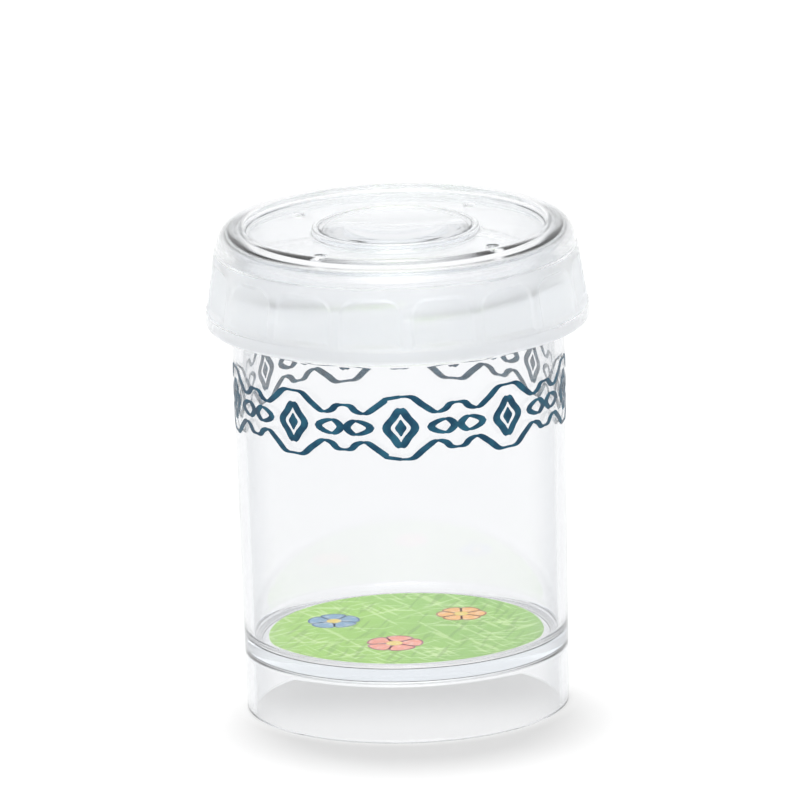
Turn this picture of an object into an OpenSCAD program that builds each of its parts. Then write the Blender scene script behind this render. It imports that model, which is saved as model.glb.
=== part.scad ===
// Clear jar for watching insects, with a screw lid that holds a magnifier.
// The jar stands on z = 0 about the z axis, and -y is its front.

/* [Jar] */
// Height of the jar, from the foot to the mouth
jar_h = 99.6; // [85:0.2:140]
// Outer radius of the body just under the neck
body_r = 34.1; // [30:0.1:45]
// How much narrower the body is at the foot, on the radius
body_taper = 1; // [0:0.1:2]
// Thickness of the side wall
wall = 2; // [1.6:0.1:2.6]
// Radius of the inside corner round the floor
floor_fillet_r = 2.2; // [1:0.1:5]

/* [Foot and floor] */
// Height of the open foot under the floor
foot_h = 12.8; // [6:0.1:24]
// Thickness of the foot's skirt where it stands
foot_wall = 1.8; // [1.4:0.1:2.6]
// Thickness of the floor
floor_t = 2.4; // [1.6:0.1:5]
// Radius of the inside corner under the floor
foot_fillet_r = 1.2; // [0.6:0.1:3]

/* [Neck] */
// Height of the neck that goes into the lid
neck_h = 19.2; // [16.5:0.1:26]
// Step from the body in to the neck, on the radius
neck_step = 0.5; // [0.3:0.05:0.7]

/* [Lid] */
// Room between the neck and the top of the skirt, where the screw thread lies
thread_room = 1.8; // [1.5:0.1:2.5]
// Thickness of the skirt
skirt_wall = 1.8; // [1.6:0.1:2.6]
// How much wider the skirt is at its foot than at its top, on the radius
skirt_flare = 1.85; // [0.8:0.05:2.6]
// How far the bottom ring stands out from the skirt
ring_proud = 0.25; // [0.1:0.05:0.6]
// Height of the plain ring at the bottom of the lid
ring_h = 2.8; // [1.5:0.1:5]
// Radius of the round shoulder between skirt and top
shoulder_r = 4.5; // [3.6:0.1:5]
// Width of the flat rim on top
rim_w = 1.1; // [0.6:0.1:2.5]
// Thickness of the top over the mouth
crown_t = 2; // [1.6:0.1:3]
// Depth of the sunk top inside the rim
recess_depth = 1.9; // [1:0.1:2.2]
// Thickness of the sunk top
plate_t = 1.7; // [1.4:0.1:2.4]

/* [Grip] */
// Number of sunk panels round the skirt
panel_count = 16; // [12:1:16]
// Width of a panel
panel_w = 14; // [9:0.1:14.3]
// Height of a panel along the skirt
panel_h = 10.8; // [8.5:0.1:11.6]
// Depth of a panel at its middle
panel_depth = 0.8; // [0.7:0.05:0.9]
// Radius of a panel's top corners
panel_corner_r = 4; // [1:0.1:4.2]
// Angle of the first panel's middle from the +x side
panel_angle = 14.05; // [0:0.05:22.5]

/* [Air holes] */
// Number of air holes
vent_count = 4; // [2:1:8]
// Radius of an air hole
vent_r = 1; // [0.6:0.05:1.6]
// Distance from the edge of the sunk top in to the air holes' middles
vent_inset = 5.6; // [3:0.1:8]
// Angle of the first air hole from the x axis
vent_angle = 52; // [0:1:90]

/* [Magnifier] */
// Radius of the lens
lens_r = 15.8; // [12:0.1:17]
// Thickness of the lens at its edge
lens_edge_t = 1.5; // [1.2:0.1:1.7]
// Radius of the lens's upper curve
lens_top_curve_r = 150; // [140:1:300]
// Radius of the lens's lower curve
lens_low_curve_r = 92; // [70:1:200]
// Wall of the raised ring round the lens
lens_ring_wall = 1.2; // [0.8:0.1:2]
// Height of the raised ring above the sunk top
lens_ring_h = 1; // [0.6:0.1:1.2]
// Width of the ledge that the lens lies on
ledge_w = 1.4; // [0.8:0.1:2]

/* [Picture label and printed band] */
// Clear margin between the picture label and the round corner of the floor
label_margin = 0.8; // [0.3:0.1:6]
// Thickness of the picture label
label_t = 0.25; // [0.15:0.05:0.5]
// Height of the printed band
band_h = 14; // [6:0.1:24]
// Distance from the neck down to the band
band_drop = 6.4; // [1:0.1:20]
// Thickness of the band's film
band_t = 0.15; // [0.1:0.01:0.3]

/* [Hidden] */
$fn = 144;

// Clearances
seat_gap = 0.3;        // jar's mouth to the lid's crown
plug_gap = 0.35;       // lid's plug to the inside of the mouth
skirt_gap = 1;         // lid's lower edge to the step under the neck
lens_gap = 0.15;       // lens to its ring and its ledge
film_gap = 0.02;       // printed film to the wall
overrun = 1;           // how far a cut runs past what it cuts

// Small edges
edge_r = 0.6;          // moulded edges of the foot, the mouth and the lid
lip_share = 2.2;       // the mouth's wall has room for this many of its roundings
crease = 0.4;          // step between the skirt and the round shoulder
rim_lean = 0.6;        // how much the rim's inner side leans
lens_bevel = 0.5;      // flat edge round the lens's upper curve
arc_steps = 6;
lens_facets = 720;

// Jar
neck_z = jar_h - neck_h;
neck_r = body_r - neck_step;
floor_z = foot_h + floor_t;
mouth_in_r = body_r_at(jar_h) - wall;
foot_in_r = body_r_at(0) - foot_wall;
foot_top_in_r = body_r_at(foot_h) - wall;
label_r = body_r_at(floor_z) - wall - floor_fillet_r - label_margin;
lip_r = min(edge_r, (neck_r - mouth_in_r) / lip_share);

// Lid
lid_z = neck_z + skirt_gap;
ring_z = lid_z + ring_h;
groove_z = jar_h + seat_gap;
top_z = groove_z + crown_t;
recess_z = top_z - recess_depth;
plate_z = recess_z - plate_t;
shoulder_z = top_z - shoulder_r;
crease_z = shoulder_z - 2 * crease;
skirt_in_top_r = neck_r + thread_room;
skirt_top_r = skirt_in_top_r + skirt_wall;
skirt_foot_r = skirt_top_r + skirt_flare;
shoulder_start_r = skirt_top_r - crease;
skirt_in_foot_r = skirt_foot_r - skirt_wall;
lid_r = skirt_foot_r + ring_proud;
plug_r = mouth_in_r - plug_gap;
rim_out_r = shoulder_start_r - shoulder_r;
rim_in_r = rim_out_r - rim_w;
skirt_lean = atan((skirt_foot_r - skirt_top_r) / (crease_z - ring_z));
panel_z = ring_z + ring_proud;
vent_circle_r = rim_in_r - rim_lean - vent_inset;

// Lens and the ring that holds it
lens_seat_z = recess_z + lens_ring_h - lens_edge_t - lens_gap;
lens_z = lens_seat_z + lens_gap;
lens_face_r = lens_r - lens_bevel;
lens_hole_r = lens_r - ledge_w;
lens_low_face_r = lens_hole_r - lens_gap;
lens_pocket_r = lens_r + lens_gap;

// Band
band_top_z = neck_z - band_drop;

// Outer radius of the body at a height
function body_r_at(z) = body_r - body_taper * (1 - z / (jar_h - neck_h));

// Points of an arc round a centre, from one angle to another
function arc(centre, r, from, to) = [
    for (i = [0:arc_steps])
        let (a = from + (to - from) * i / arc_steps)
            centre + r * [cos(a), sin(a)]
];

// Height of a round cap over its edge
function sag(curve_r, edge) = curve_r - sqrt(curve_r * curve_r - edge * edge);

// Half section of the jar, from under the floor round the foot, wall and mouth
module jar_section() {
    lip_z = jar_h - lip_r;
    step_z = neck_z - neck_step;
    corner_z = floor_z + floor_fillet_r;
    polygon(concat(
        [[0, foot_h]],
        arc([foot_top_in_r - foot_fillet_r, foot_h - foot_fillet_r], foot_fillet_r, 90, 0),
        arc([foot_in_r + edge_r, edge_r], edge_r, 180, 270),
        arc([body_r_at(edge_r) - edge_r, edge_r], edge_r, 270, 360),
        [[body_r_at(step_z), step_z], [neck_r, neck_z]],
        arc([neck_r - lip_r, lip_z], lip_r, 0, 90),
        arc([mouth_in_r + lip_r, lip_z], lip_r, 90, 180),
        arc([body_r_at(corner_z) - wall - floor_fillet_r, corner_z], floor_fillet_r, 0, -90),
        [[0, floor_z]]
    ));
}

module jar_body() {
    color([0.9, 0.94, 0.97, 0.35])
        rotate_extrude()
            jar_section();
}

// Outside of the lid from its axis out: ring, leaning skirt, crease, round shoulder and rim
module lid_outside() {
    polygon(concat(
        [[0, lid_z]],
        arc([lid_r - edge_r, lid_z + edge_r], edge_r, 270, 360),
        [[lid_r, ring_z], [skirt_foot_r, panel_z], [skirt_top_r, crease_z]],
        [[shoulder_start_r, crease_z + crease]],
        arc([rim_out_r, shoulder_z], shoulder_r, 0, 90),
        [[rim_in_r, top_z], [rim_in_r - rim_lean, recess_z], [0, recess_z]]
    ));
}

// Room under the lid: the skirt's inside, and the groove that the mouth goes up into
module lid_room() {
    polygon(concat(
        [[0, lid_z - overrun], [skirt_in_foot_r, lid_z - overrun], [skirt_in_foot_r, lid_z]],
        arc([neck_r, groove_z - thread_room], thread_room, 0, 90),
        [[plug_r, groove_z], [plug_r, plate_z + edge_r], [plug_r - edge_r, plate_z], [0, plate_z]]
    ));
}

// One sunk panel of the grip on the +x side: flat, leaning with the skirt, with round top corners
module grip_panel() {
    reach = panel_depth + ring_proud + overrun;
    translate([skirt_foot_r - panel_depth, 0, panel_z])
        rotate([0, -skirt_lean, 0])
            rotate([90, 0, 90])
                linear_extrude(reach)
                    panel_outline();
}

module panel_outline() {
    corner_x = panel_w / 2 - panel_corner_r;
    translate([-panel_w / 2, 0])
        square([panel_w, panel_h - panel_corner_r]);
    translate([-corner_x, 0])
        square([2 * corner_x, panel_h]);
    for (side = [-1, 1])
        translate([side * corner_x, panel_h - panel_corner_r])
            circle(panel_corner_r);
}

module air_holes() {
    for (i = [0:vent_count - 1])
        rotate(vent_angle + i * 360 / vent_count)
            translate([vent_circle_r, 0, plate_z - overrun])
                cylinder(r = vent_r, h = plate_t + 2 * overrun);
}

// Raised ring and ledge that hold the lens
module lens_seat() {
    difference() {
        translate([0, 0, plate_z])
            cylinder(r = lens_pocket_r + lens_ring_wall, h = plate_t + lens_ring_h);
        translate([0, 0, plate_z - overrun])
            cylinder(r = lens_hole_r, h = plate_t + lens_ring_h + 2 * overrun);
        translate([0, 0, lens_seat_z])
            cylinder(r = lens_pocket_r, h = lens_edge_t + lens_gap + overrun);
    }
}

module lid() {
    color([0.92, 0.95, 0.98, 0.35])
        union() {
            difference() {
                rotate_extrude()
                    difference() {
                        lid_outside();
                        lid_room();
                    }
                for (i = [0:panel_count - 1])
                    rotate(panel_angle + i * 360 / panel_count)
                        grip_panel();
                translate([0, 0, plate_z - overrun])
                    cylinder(r = lens_pocket_r, h = plate_t + 2 * overrun);
                air_holes();
            }
            lens_seat();
        }
}

// Biconvex lens with a flat edge
module magnifier_lens() {
    top_sag = sag(lens_top_curve_r, lens_face_r);
    low_sag = sag(lens_low_curve_r, lens_low_face_r);
    edge_z = lens_z + lens_edge_t;
    color([0.88, 0.93, 1, 0.45])
        rotate_extrude() {
            translate([0, lens_z])
                square([lens_r, lens_edge_t]);
            intersection() {
                translate([0, edge_z + top_sag - lens_top_curve_r])
                    circle(lens_top_curve_r, $fn = lens_facets);
                translate([0, lens_z + lens_edge_t / 2])
                    square([lens_r, lens_edge_t / 2 + top_sag + overrun]);
            }
            intersection() {
                translate([0, lens_z - low_sag + lens_low_curve_r])
                    circle(lens_low_curve_r, $fn = lens_facets);
                translate([0, lens_z - low_sag - overrun])
                    square([lens_r, low_sag + overrun + lens_edge_t / 2]);
            }
        }
}

// Film that lies on the tapered wall
module printed_band() {
    low_z = band_top_z - band_h;
    low_r = body_r_at(low_z) + film_gap;
    top_r = body_r_at(band_top_z) + film_gap;
    color([0.25, 0.52, 0.68, 0.7])
        rotate_extrude()
            polygon([
                [low_r, low_z],
                [low_r + band_t, low_z],
                [top_r + band_t, band_top_z],
                [top_r, band_top_z]
            ]);
}

// Label that lies on the floor inside
module floor_disc() {
    color([0.55, 0.76, 0.3])
        translate([0, 0, floor_z])
            cylinder(r = label_r, h = label_t);
}

jar_body();
lid();
magnifier_lens();
printed_band();
floor_disc();
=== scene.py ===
"""Clear insect jar with a screw lid and a magnifier: the finished look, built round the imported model.

Every piece is drawn in millimetres about the jar's axis and brought to metres when it is finished.
"""

import logging
import math
from dataclasses import dataclass
from enum import Enum

import bmesh
import bpy
from mathutils import Matrix, Vector


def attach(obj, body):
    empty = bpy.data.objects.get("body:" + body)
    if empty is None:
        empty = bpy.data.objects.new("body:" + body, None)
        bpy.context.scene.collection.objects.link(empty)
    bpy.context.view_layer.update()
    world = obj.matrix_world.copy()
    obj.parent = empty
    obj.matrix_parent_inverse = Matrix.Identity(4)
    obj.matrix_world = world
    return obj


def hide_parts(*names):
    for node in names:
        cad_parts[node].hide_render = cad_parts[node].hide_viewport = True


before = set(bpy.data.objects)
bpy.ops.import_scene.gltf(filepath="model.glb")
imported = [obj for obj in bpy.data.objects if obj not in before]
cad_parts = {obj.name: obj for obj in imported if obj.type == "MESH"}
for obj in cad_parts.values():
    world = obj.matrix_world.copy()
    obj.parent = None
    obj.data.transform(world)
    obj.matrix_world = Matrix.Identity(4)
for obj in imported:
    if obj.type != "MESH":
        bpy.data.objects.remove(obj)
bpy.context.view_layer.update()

log = logging.getLogger("insect_jar")

MM = 0.001
FULL_TURN = 2 * math.pi
COLUMNS = 384           # steps of a full turn in the turned shells
GUARD = 0.25            # plain strip beside a rounded edge, which keeps the flat beyond it flat
WELD = 0.002            # points nearer than this become one
NEAR = 0.01             # a point this near to a ring or wall lies on it
CUT_REACH = 0.0005      # a cut takes a point this near instead of making a new one
THREAD_ROW = 0.22       # height of the rows under the thread and its lugs
SHARP_ANGLE = math.radians(48)      # an edge that bends more stays sharp


class Body(Enum):
    """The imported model's bodies that a piece may ride on."""

    JAR = "jar"
    LENS = "lens"
    LID = "lid"


# ---- drawing ----


@dataclass(frozen=True)
class Corner:
    """A corner of a half section.

    Attributes:
        r: distance from the axis.
        z: height.
        rounding: radius of the rounding, or 0 for a sharp corner.
        steps: pieces that the rounding is made of.
        rows: rows that the straight run up to this corner is cut into.
    """

    r: float
    z: float
    rounding: float = 0.0
    steps: int = 4
    rows: int = 1

    @property
    def place(self) -> Vector:
        """The corner's point in the xz plane."""
        return Vector((self.r, 0.0, self.z))


def draw_section(bm: bmesh.types.BMesh, corners: list[Corner]) -> None:
    """Draws an open chain of edges from corner to corner, and rounds its corners.

    Args:
        bm: the mesh to draw in.
        corners: the corners in order.
    """
    reach = [0.0] * len(corners)
    for i in range(1, len(corners) - 1):
        before, after = (corners[j].place - corners[i].place for j in (i - 1, i + 1))
        reach[i] = corners[i].rounding / math.tan(before.angle(after) / 2)
    chain: list[bmesh.types.BMVert] = []
    runs: list[tuple[bmesh.types.BMVert, bmesh.types.BMVert, int]] = []
    for i, corner in enumerate(corners):
        if i:
            last = corners[i - 1]
            along = corner.place - last.place
            room = along.length - reach[i] - reach[i - 1]
            along.normalize()
            if room > 3 * GUARD:        # room for a plain strip at each end
                start = chain[-1]
                if reach[i - 1]:
                    start = bm.verts.new(last.place + along * (reach[i - 1] + GUARD))
                end = bm.verts.new(corner.place - along * (reach[i] + GUARD)) if reach[i] else None
                chain += [v for v in (start, end) if v is not None and v not in chain]
            else:
                start, end = chain[-1], None
        vert = bm.verts.new(corner.place)
        if i and corner.rows > 1:
            runs.append((start, end or vert, corner.rows))
        chain.append(vert)
    for pair in zip(chain, chain[1:]):
        bm.edges.new(pair)
    for start, end, rows in runs:
        shared = next(e for e in start.link_edges if e.other_vert(start) is end)
        bmesh.ops.subdivide_edges(bm, edges=[shared], cuts=rows - 1)
    for corner, offset in zip(corners, reach):
        if offset:
            round_corner(bm, corner.place, offset, corner.steps)


def round_corner(bm: bmesh.types.BMesh, place: Vector, offset: float, steps: int) -> None:
    """Rounds the corner of a chain of edges.

    Args:
        bm: the mesh.
        place: the corner's point.
        offset: distance from the corner at which the rounding starts.
        steps: pieces that the rounding is made of.
    """
    vert = min(bm.verts, key=lambda v: (v.co - place).length)
    bmesh.ops.bevel(bm, geom=[vert], offset=offset, offset_type="OFFSET", segments=steps, profile=0.5,
                    affect="VERTICES", material=-1)


def turn_section(bm: bmesh.types.BMesh, corners: list[Corner], columns: int = COLUMNS,
                 centre: tuple[float, float, float] = (0.0, 0.0, 0.0)) -> None:
    """Draws a half section and turns it once round an upright axis.

    Args:
        bm: the mesh to draw in.
        corners: the section's corners, their radii counted from the axis.
        columns: steps of the full turn.
        centre: a point of the axis.
    """
    own = bmesh.new()
    draw_section(own, corners)
    bmesh.ops.spin(own, geom=own.verts[:] + own.edges[:], cent=(0, 0, 0), axis=(0, 0, 1), dvec=(0, 0, 0),
                   angle=FULL_TURN, steps=columns, use_merge=True, use_duplicate=False)
    bmesh.ops.remove_doubles(own, verts=own.verts, dist=WELD)
    bmesh.ops.translate(own, vec=centre, verts=own.verts)
    add_mesh(bm, own)


def add_mesh(bm: bmesh.types.BMesh, other: bmesh.types.BMesh) -> None:
    """Adds another mesh to a mesh, and frees the other.

    Args:
        bm: the mesh that grows.
        other: the mesh that is added.
    """
    carrier = bpy.data.meshes.new("carrier")
    other.to_mesh(carrier)
    other.free()
    bm.from_mesh(carrier)
    bpy.data.meshes.remove(carrier)


def cut(bm: bmesh.types.BMesh, place: Vector, normal: Vector) -> None:
    """Cuts a mesh's faces where a plane crosses them, and keeps both sides.

    Args:
        bm: the mesh.
        place: a point of the plane.
        normal: the plane's normal.
    """
    bmesh.ops.bisect_plane(bm, geom=bm.verts[:] + bm.edges[:] + bm.faces[:], dist=CUT_REACH, plane_co=place,
                           plane_no=normal)


def smooth_rise(value: float, low: float, high: float) -> float:
    """Rises smoothly from 0 at low to 1 at high."""
    t = min(1.0, max(0.0, (value - low) / (high - low)))
    return t * t * (3 - 2 * t)


def boundary(bm: bmesh.types.BMesh, z: float, r: float) -> list[bmesh.types.BMEdge]:
    """Finds the open edges of a ring about the jar's axis.

    Args:
        bm: the mesh.
        z: the ring's height.
        r: the ring's radius.

    Returns:
        The edges that have one face and lie on that ring.
    """
    def on_ring(v: bmesh.types.BMVert) -> bool:
        """Whether a point lies on the ring."""
        return abs(v.co.z - z) < NEAR and abs(v.co.xy.length - r) < NEAR

    return [e for e in bm.edges if len(e.link_faces) < 2 and all(on_ring(v) for v in e.verts)]


def finish_piece(bm: bmesh.types.BMesh, name: str, body: Body, material: bpy.types.Material,
                 nodes: tuple[str, ...] = ()) -> None:
    """Turns a drawn mesh into a finished piece of the jar.

    Args:
        bm: the drawn mesh, in millimetres.
        name: the piece's name.
        body: the body that it rides on.
        material: its finish.
        nodes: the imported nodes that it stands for.
    """
    bmesh.ops.remove_doubles(bm, verts=bm.verts, dist=WELD)
    bmesh.ops.recalc_face_normals(bm, faces=bm.faces)
    open_edges = sum(1 for e in bm.edges if len(e.link_faces) != 2)
    bmesh.ops.scale(bm, vec=(MM, MM, MM), verts=bm.verts)
    mesh = bpy.data.meshes.new(name)
    triangles = sum(len(f.verts) - 2 for f in bm.faces)
    bm.to_mesh(mesh)
    bm.free()
    for polygon in mesh.polygons:
        polygon.use_smooth = True
    mesh.set_sharp_from_angle(angle=SHARP_ANGLE)
    piece = bpy.data.objects.new(name, mesh)
    bpy.context.scene.collection.objects.link(piece)
    mesh.materials.append(material)
    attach(piece, body.value)
    if nodes:
        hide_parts(*nodes)
    log.info("%s: %d triangles, %d open edges", name, triangles, open_edges)


# ---- finishes ----


class NodeBoard:
    """Lays out the nodes of one tree."""

    def __init__(self, tree: bpy.types.NodeTree) -> None:
        """Clears the tree."""
        self.tree = tree
        tree.nodes.clear()

    def add(self, kind: str, inputs: dict | None = None, **settings) -> bpy.types.Node:
        """Adds a node.

        Args:
            kind: the node's type.
            inputs: values or sockets for its inputs, by name or number.
            **settings: the node's own settings.

        Returns:
            The node.
        """
        node = self.tree.nodes.new(kind)
        for name, value in settings.items():
            setattr(node, name, value)
        for key, value in (inputs or {}).items():
            if isinstance(value, bpy.types.NodeSocket):
                self.tree.links.new(value, node.inputs[key])
            else:
                node.inputs[key].default_value = value
        return node

    def link(self, value: bpy.types.NodeSocket, node: bpy.types.Node, name: str) -> None:
        """Links a value to a node's input."""
        self.tree.links.new(value, node.inputs[name])

    def maths(self, operation: str, *values: object, clamp: bool = False) -> bpy.types.NodeSocket:
        """Adds a Math node and returns its result."""
        node = self.add("ShaderNodeMath", dict(enumerate(values)), operation=operation, use_clamp=clamp)
        return node.outputs[0]

    def ramp(self, value: object, low: float, high: float, to_low: float = 0.0,
             to_high: float = 1.0) -> bpy.types.NodeSocket:
        """Maps a value smoothly from one range to another."""
        node = self.add("ShaderNodeMapRange", {"Value": value, "From Min": low, "From Max": high,
                                               "To Min": to_low, "To Max": to_high},
                        interpolation_type="SMOOTHSTEP")
        return node.outputs["Result"]

    def noise(self, scale: float, detail: float = 2.0, stretch: tuple[float, float, float] = (1, 1, 1),
              turn: float = 0.0) -> bpy.types.NodeSocket:
        """Adds a noise that follows the piece's own coordinates.

        Args:
            scale: waves in a metre, about.
            detail: octaves.
            stretch: how much the pattern is squeezed along each of its axes.
            turn: turn of the pattern about the upright axis, in radians.

        Returns:
            The noise's value.
        """
        place = self.add("ShaderNodeTexCoord").outputs["Object"]
        size = tuple(1 / part for part in stretch)
        mapped = self.add("ShaderNodeMapping", {"Vector": place, "Scale": size, "Rotation": (0, 0, turn)},
                          vector_type="TEXTURE")
        node = self.add("ShaderNodeTexNoise", {"Vector": mapped.outputs[0], "Scale": scale, "Detail": detail})
        return node.outputs["Fac"]

    def blend(self, share: object, first: object, second: object) -> bpy.types.NodeSocket:
        """Mixes two colours."""
        node = self.add("ShaderNodeMix", {"Factor": share, 6: first, 7: second}, data_type="RGBA")
        return node.outputs[2]

    def bump(self, height: object, distance: float) -> bpy.types.NodeSocket:
        """Adds a bump and returns its normal. The distance is in millimetres."""
        return self.add("ShaderNodeBump", {"Height": height, "Distance": distance * MM}).outputs[0]


def new_material(name: str) -> tuple[bpy.types.Material, NodeBoard, bpy.types.Node]:
    """Makes a material with one Principled shader on its output.

    Args:
        name: the material's name.

    Returns:
        The material, its node board and the shader.
    """
    material = bpy.data.materials.new(name)
    material.use_nodes = True
    board = NodeBoard(material.node_tree)
    shader = board.add("ShaderNodeBsdfPrincipled")
    board.add("ShaderNodeOutputMaterial", {"Surface": shader.outputs[0]})
    return material, board, shader


@dataclass(frozen=True)
class ClearPlastic:
    """Clear moulded plastic, polished, with the faint waves that moulding leaves.

    Attributes:
        name: the material's name.
        tint: colour that the surface gives to what passes through it.
        painted_edge_shade: painted shade, the darker colour given to an upright wall where it is seen edge
            on.
        depth_tint: colour of the plastic in its depth.
        depth: how strongly the plastic's depth takes light away.
        ior: index of refraction.
        gloss: lowest and highest roughness.
        handling: waves in a metre of the change between them.
        handled: heights of that noise between which the roughness changes.
        edge_facing: how far the wall is turned away where the painted edge shade starts, and where it is
            full.
        level: upward share of the normal past which the painted edge shade fades, and where it is gone.
        wave: height of the moulding waves, in mm.
        wave_scale: waves in a metre.
        wave_length: how much the waves are drawn out up and down.
        satin: roughness where the piece's own satin attribute is 1, or 0 for none.
        satin_tint: colour there.
    """

    name: str
    tint: tuple[float, float, float] = (0.934, 0.938, 0.946)
    painted_edge_shade: tuple[float, float, float] | None = None
    depth_tint: tuple[float, float, float] = (0.6, 0.68, 0.75)
    depth: float = 7.5
    ior: float = 1.49
    gloss: tuple[float, float] = (0.0, 0.05)
    handling: float = 90.0
    handled: tuple[float, float] = (0.35, 0.75)
    edge_facing: tuple[float, float] = (0.4, 0.8)
    level: tuple[float, float] = (0.2, 0.5)
    wave: float = 0.03
    wave_scale: float = 55.0
    wave_length: float = 0.45
    satin: float = 0.0
    satin_tint: tuple[float, float, float] = (0.97, 0.98, 0.99)

    def make(self) -> bpy.types.Material:
        """Builds the material.

        Returns:
            The material.
        """
        material, board, shader = new_material(self.name)
        low, high = self.gloss
        shader.inputs["Base Color"].default_value = (*self.tint, 1.0)
        shader.inputs["IOR"].default_value = self.ior
        shader.inputs["Transmission Weight"].default_value = 1.0
        roughness = board.ramp(board.noise(self.handling, 4), *self.handled, low, high)
        # Painted shade: the tint is darkened where an upright wall is seen edge on.
        if self.painted_edge_shade:
            tint = board.blend(self._painted_edge_shade_share(board), (*self.tint, 1), (*self.painted_edge_shade, 1))
            board.link(tint, shader, "Base Color")
        if self.satin:
            share = board.add("ShaderNodeAttribute", attribute_name="satin").outputs["Fac"]
            rise = board.maths("MULTIPLY", share, self.satin - low)
            roughness = board.maths("ADD", roughness, rise, clamp=True)
            board.link(board.blend(share, (*self.tint, 1), (*self.satin_tint, 1)), shader, "Base Color")
        board.link(roughness, shader, "Roughness")
        waves = board.noise(self.wave_scale, 1, (1, 1, self.wave_length))
        board.link(board.bump(waves, self.wave), shader, "Normal")
        inside = board.add("ShaderNodeVolumeAbsorption",
                           {"Color": (*self.depth_tint, 1), "Density": self.depth})
        output = next(n for n in board.tree.nodes if n.type == "OUTPUT_MATERIAL")
        board.link(inside.outputs[0], output, "Volume")
        return material

    def _painted_edge_shade_share(self, board: NodeBoard) -> bpy.types.NodeSocket:
        """Finds where an upright wall is seen edge on, where shade is painted into its tint.

        Args:
            board: the material's nodes.

        Returns:
            The share of the painted edge shade.
        """
        facing = board.add("ShaderNodeLayerWeight", {"Blend": 0.5}).outputs["Facing"]
        normal = board.add("ShaderNodeTexCoord").outputs["Normal"]
        upward = board.maths("ABSOLUTE", board.add("ShaderNodeSeparateXYZ", {0: normal}).outputs["Z"])
        upright = board.ramp(upward, *self.level, 1.0, 0.0)
        return board.maths("MULTIPLY", board.ramp(facing, *self.edge_facing), upright)


@dataclass(frozen=True)
class PrintInk:
    """Screen ink, a little uneven and a little glossy.

    Attributes:
        name: the material's name.
        deep: colour where the ink lies thick.
        thin: colour where it lies thin.
        cover: waves in a metre of the change between them.
        covered: heights of that noise between which the ink changes.
        gloss: roughness where it lies thick, and where it lies thin.
        specular: strength of its gloss.
        tooth: waves in a metre of its surface.
        relief: height of these waves, in mm.
    """

    name: str
    deep: tuple[float, float, float]
    thin: tuple[float, float, float]
    cover: float = 420.0
    covered: tuple[float, float] = (0.35, 0.7)
    gloss: tuple[float, float] = (0.28, 0.5)
    specular: float = 0.2
    tooth: float = 1600.0
    relief: float = 0.004

    def make(self) -> bpy.types.Material:
        """Builds the material.

        Returns:
            The material.
        """
        material, board, shader = new_material(self.name)
        cover = board.ramp(board.noise(self.cover, 3), *self.covered)
        board.link(board.blend(cover, (*self.deep, 1), (*self.thin, 1)), shader, "Base Color")
        board.link(board.ramp(cover, 0, 1, *self.gloss), shader, "Roughness")
        board.link(board.bump(board.noise(self.tooth, 2), self.relief), shader, "Normal")
        shader.inputs["Specular IOR Level"].default_value = self.specular
        return material


@dataclass(frozen=True)
class ColourInk:
    """Printing ink in the colours that the piece's own ink attribute gives.

    Attributes:
        name: the material's name.
        uneven: how much of the bare paper shows where the ink lies thin.
        bare: colour of that paper.
        cover: waves in a metre of the ink's unevenness.
        covered: heights of that noise between which the ink grows thin.
        gloss: roughness where it lies thick, and where it lies thin.
        tooth: waves in a metre of its surface.
        relief: height of these waves, in mm.
    """

    name: str
    uneven: float = 0.3
    bare: tuple[float, float, float] = (0.9, 0.9, 0.8)
    cover: float = 700.0
    covered: tuple[float, float] = (0.45, 0.75)
    gloss: tuple[float, float] = (0.35, 0.55)
    tooth: float = 3000.0
    relief: float = 0.004

    def make(self) -> bpy.types.Material:
        """Builds the material.

        Returns:
            The material.
        """
        material, board, shader = new_material(self.name)
        ink = board.add("ShaderNodeAttribute", attribute_name="ink").outputs["Color"]
        thin = board.ramp(board.noise(self.cover, 3), *self.covered, 0, self.uneven)
        board.link(board.blend(thin, ink, (*self.bare, 1)), shader, "Base Color")
        board.link(board.ramp(thin, 0, 1, *self.gloss), shader, "Roughness")
        board.link(board.bump(board.noise(self.tooth, 2), self.relief), shader, "Normal")
        return material


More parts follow.
